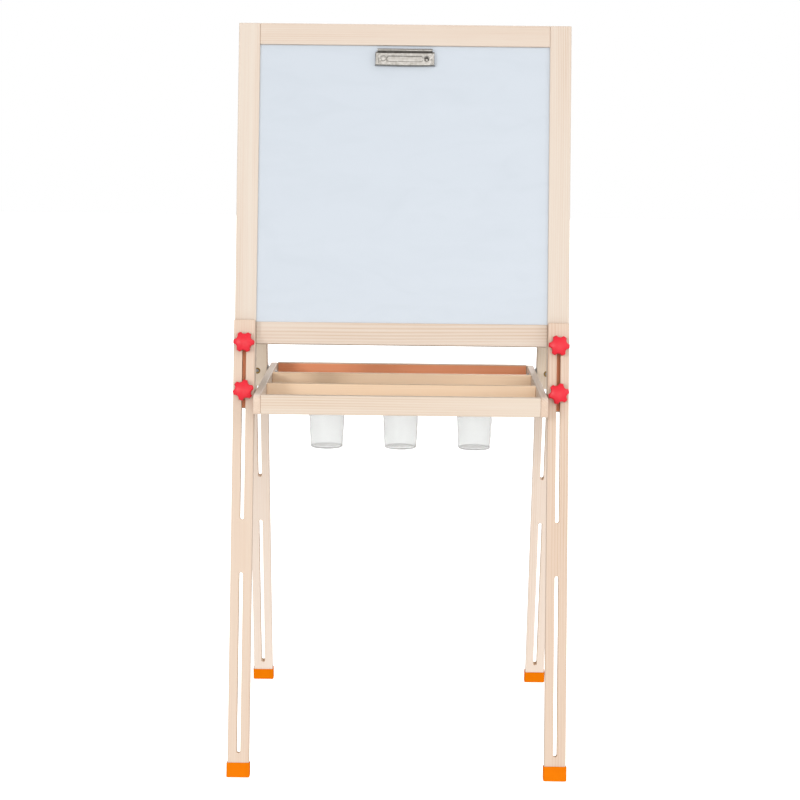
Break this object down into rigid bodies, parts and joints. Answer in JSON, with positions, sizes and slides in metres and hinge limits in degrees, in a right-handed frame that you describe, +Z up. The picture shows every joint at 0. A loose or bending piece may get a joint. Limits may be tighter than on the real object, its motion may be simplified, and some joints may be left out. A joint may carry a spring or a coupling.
{
  "type": "kids easel",
  "caption": "Folding double-sided kids easel: framed dry-wipe and chalk boards on slotted sliding legs with lobed clamp knobs, a tray with lift-out cups, and a paper clip.",
  "frame": {"origin": "on the floor, in the middle between the four feet", "axes": "+Z up, -Y out of the dry-wipe board towards its user, +X to that user's right"},
  "size_m": [0.5692, 0.5512, 1.2348],
  "materials": {
    "pine_front": "sanded bare pine, fine straight grain",
    "pine_rear": "sanded bare pine, fine straight grain",
    "pine_leg": "sanded bare pine, fine straight grain",
    "pine_tray": "sanded bare pine, fine straight grain",
    "tray_ply": "thin sanded plywood",
    "whiteboard_face": "satin dry-wipe surface",
    "chalkboard_face": "matt chalkboard paint",
    "orange_cap": "soft moulded plastic",
    "red_knob": "moulded plastic with a soft gloss",
    "clear_cup": "clear, slightly frosted plastic",
    "clip_nickel": "bright nickel plate",
    "insert_brass": "yellow-passivated steel insert",
    "zinc_steel": "zinc-plated steel"
  },
  "bodies": {
    "front_frame": {"front_left_stile": "pine_front", "front_right_stile": "pine_front", "front_top_rail": "pine_front", "front_bottom_rail": "pine_front", "whiteboard": "whiteboard_face", "front_frame_screws": "zinc_steel", "front_inserts": "insert_brass", "front_hinge_leaves": "zinc_steel", "front_hinge_screws": "zinc_steel", "front_tray_pins": "zinc_steel", "hinge_pins": "zinc_steel", "clip_base": "clip_nickel", "clip_rivets": "clip_nickel", "clip_pin": "clip_nickel", "clip_spring": "clip_nickel"},
    "rear_frame": {"rear_left_stile": "pine_rear", "rear_right_stile": "pine_rear", "rear_top_rail": "pine_rear", "rear_bottom_rail": "pine_rear", "chalkboard": "chalkboard_face", "rear_frame_screws": "zinc_steel", "rear_inserts": "insert_brass", "rear_hinge_leaves": "zinc_steel", "rear_hinge_screws": "zinc_steel", "tray_pivot_bolts": "zinc_steel"},
    "tray": {"tray_left_side": "pine_tray", "tray_right_side": "pine_tray", "tray_front_rail": "pine_tray", "tray_back_rail": "pine_tray", "tray_dividers": "pine_tray", "tray_floor": "tray_ply", "tray_screws": "zinc_steel"},
    "clip_jaw": {"clip_jaw": "clip_nickel"},
    "front_left_leg": {"front_left_leg": "pine_leg", "front_left_foot": "orange_cap"},
    "front_left_upper_clamp": {"front_left_upper_knob": "red_knob", "front_left_upper_stud": "zinc_steel"},
    "front_left_lower_clamp": {"front_left_lower_knob": "red_knob", "front_left_lower_stud": "zinc_steel"},
    "front_right_leg": {"front_right_leg": "pine_leg", "front_right_foot": "orange_cap"},
    "front_right_upper_clamp": {"front_right_upper_knob": "red_knob", "front_right_upper_stud": "zinc_steel"},
    "front_right_lower_clamp": {"front_right_lower_knob": "red_knob", "front_right_lower_stud": "zinc_steel"},
    "rear_left_leg": {"rear_left_leg": "pine_leg", "rear_left_foot": "orange_cap"},
    "rear_left_upper_clamp": {"rear_left_upper_knob": "red_knob", "rear_left_upper_stud": "zinc_steel"},
    "rear_left_lower_clamp": {"rear_left_lower_knob": "red_knob", "rear_left_lower_stud": "zinc_steel"},
    "rear_right_leg": {"rear_right_leg": "pine_leg", "rear_right_foot": "orange_cap"},
    "rear_right_upper_clamp": {"rear_right_upper_knob": "red_knob", "rear_right_upper_stud": "zinc_steel"},
    "rear_right_lower_clamp": {"rear_right_lower_knob": "red_knob", "rear_right_lower_stud": "zinc_steel"},
    "cup_left": {"cup_left": "clear_cup"},
    "cup_middle": {"cup_middle": "clear_cup"},
    "cup_right": {"cup_right": "clear_cup"}
  },
  "joints": [
    {"name": "frame_fold", "type": "hinge", "parent": "front_frame", "child": "rear_frame", "pos_m": [0, 0, 1.22305], "axis": [-1, 0, 0], "range_deg": [0, 22]},
    {"name": "tray_fold", "type": "hinge", "parent": "rear_frame", "child": "tray", "pos_m": [0, 0.13038, 0.61781], "axis": [1, 0, 0], "range_deg": [0, 101]},
    {"name": "clip_press", "type": "hinge", "parent": "front_frame", "child": "clip_jaw", "pos_m": [0, -0.03078, 1.18472], "axis": [-1, 0, 0], "range_deg": [0, 20], "stiffness_Nm_per_rad": 0.25, "springref_deg": -22.92},
    {"name": "front_left_leg_slide", "type": "slide", "parent": "front_frame", "child": "front_left_leg", "axis": [0, 0.1908, 0.9816], "range_m": [0, 0.211]},
    {"name": "front_left_upper_clamp_turn", "type": "hinge", "parent": "front_frame", "child": "front_left_upper_clamp", "pos_m": [-0.262, -0.14078, 0.70846], "axis": [0, -0.9816, 0.1908], "continuous": true},
    {"name": "front_left_lower_clamp_turn", "type": "hinge", "parent": "front_frame", "child": "front_left_lower_clamp", "pos_m": [-0.262, -0.15604, 0.62993], "axis": [0, -0.9816, 0.1908], "continuous": true},
    {"name": "front_right_leg_slide", "type": "slide", "parent": "front_frame", "child": "front_right_leg", "axis": [0, 0.1908, 0.9816], "range_m": [0, 0.211]},
    {"name": "front_right_upper_clamp_turn", "type": "hinge", "parent": "front_frame", "child": "front_right_upper_clamp", "pos_m": [0.262, -0.14078, 0.70846], "axis": [0, -0.9816, 0.1908], "continuous": true},
    {"name": "front_right_lower_clamp_turn", "type": "hinge", "parent": "front_frame", "child": "front_right_lower_clamp", "pos_m": [0.262, -0.15604, 0.62993], "axis": [0, -0.9816, 0.1908], "continuous": true},
    {"name": "rear_left_leg_slide", "type": "slide", "parent": "rear_frame", "child": "rear_left_leg", "axis": [0, -0.1908, 0.9816], "range_m": [0, 0.211]},
    {"name": "rear_left_upper_clamp_turn", "type": "hinge", "parent": "rear_frame", "child": "rear_left_upper_clamp", "pos_m": [-0.262, 0.14078, 0.70846], "axis": [0, 0.9816, 0.1908], "continuous": true},
    {"name": "rear_left_lower_clamp_turn", "type": "hinge", "parent": "rear_frame", "child": "rear_left_lower_clamp", "pos_m": [-0.262, 0.15604, 0.62993], "axis": [0, 0.9816, 0.1908], "continuous": true},
    {"name": "rear_right_leg_slide", "type": "slide", "parent": "rear_frame", "child": "rear_right_leg", "axis": [0, -0.1908, 0.9816], "range_m": [0, 0.211]},
    {"name": "rear_right_upper_clamp_turn", "type": "hinge", "parent": "rear_frame", "child": "rear_right_upper_clamp", "pos_m": [0.262, 0.14078, 0.70846], "axis": [0, 0.9816, 0.1908], "continuous": true},
    {"name": "rear_right_lower_clamp_turn", "type": "hinge", "parent": "rear_frame", "child": "rear_right_lower_clamp", "pos_m": [0.262, 0.15604, 0.62993], "axis": [0, 0.9816, 0.1908], "continuous": true},
    {"name": "cup_left_lift", "type": "slide", "parent": "tray", "child": "cup_left", "axis": [0, 0, 1], "range_m": [0, 0.085]},
    {"name": "cup_middle_lift", "type": "slide", "parent": "tray", "child": "cup_middle", "axis": [0, 0, 1], "range_m": [0, 0.085]},
    {"name": "cup_right_lift", "type": "slide", "parent": "tray", "child": "cup_right", "axis": [0, 0, 1], "range_m": [0, 0.085]}
  ],
  "couplings": [
    {"joint": "tray_fold", "follows": "frame_fold", "ratio": 4.5909}
  ]
}
